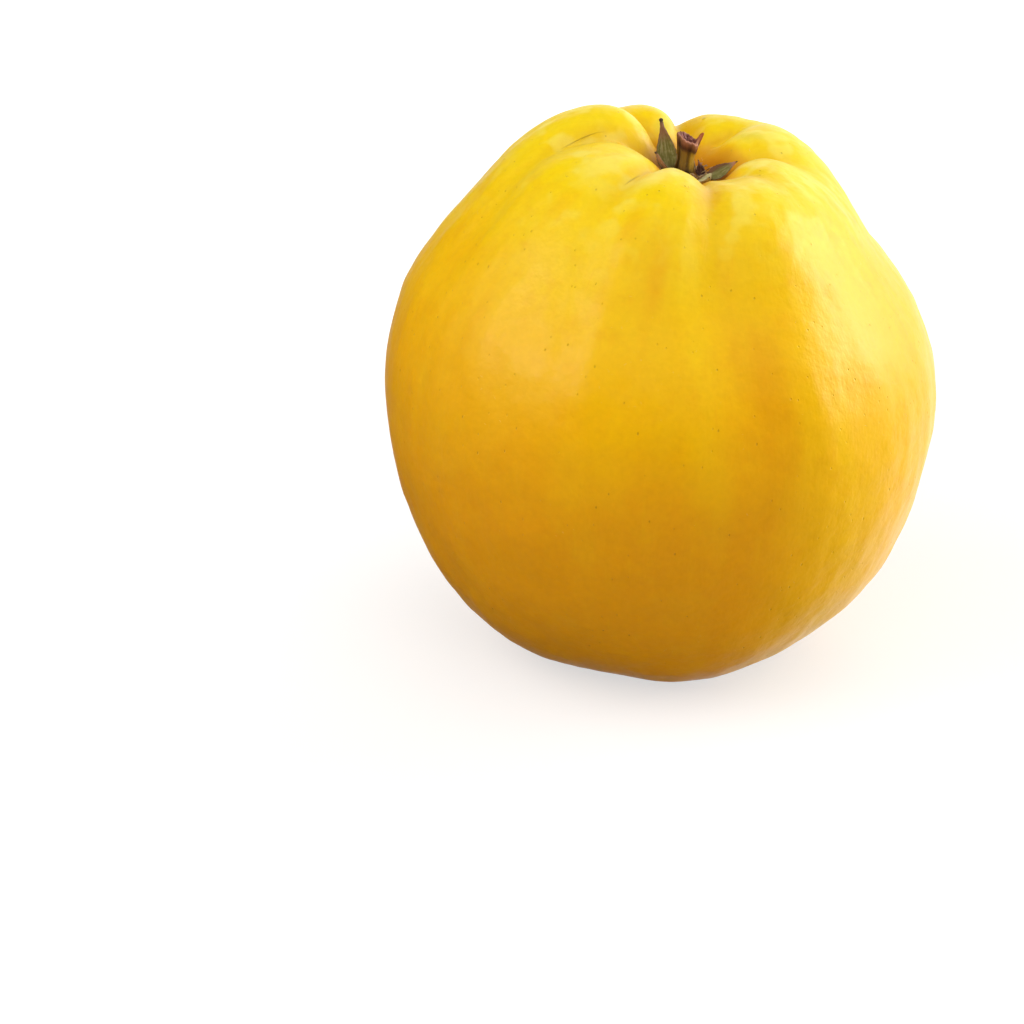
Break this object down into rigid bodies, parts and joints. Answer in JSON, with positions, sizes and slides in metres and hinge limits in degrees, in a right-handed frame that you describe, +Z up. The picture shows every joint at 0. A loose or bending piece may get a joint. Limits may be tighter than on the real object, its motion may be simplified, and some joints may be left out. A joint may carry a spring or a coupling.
{
  "type": "quince",
  "caption": "Whole ripe quince standing on its stem end: lobed, slightly pear-shaped fruit with a withered calyx in the basin on top and a sunken stem stub below.",
  "frame": {"origin": "on the surface that the fruit stands on, below the middle of its bounding box", "axes": "+Z up along the fruit's core, from the stem end to the calyx end; -Y is the front, +X the right as seen from the front"},
  "size_m": [0.0944, 0.0938, 0.094],
  "materials": {
    "golden_skin": "golden yellow fruit skin, satin, with fine pores and a little down",
    "withered_style": "dry olive brown plant tissue, matt",
    "dry_green_sepal": "dry grey-green sepal with brown edges, matt",
    "pale_sepal": "pale grey-green sepal, matt",
    "brown_sepal": "light brown curled sepal, matt",
    "dark_sepal": "dark purple-brown shrivelled sepal, matt",
    "stem": "greenish brown stem stub with a ragged end, matt"
  },
  "bodies": {
    "root": {"fruit": "golden_skin", "style_column": "withered_style", "sepal_left": "dry_green_sepal", "sepal_right": "dry_green_sepal", "sepal_front_right": "pale_sepal", "sepal_front_left": "brown_sepal", "sepal_withered": "dark_sepal", "stem_stub": "stem"}
  },
  "joints": []
}
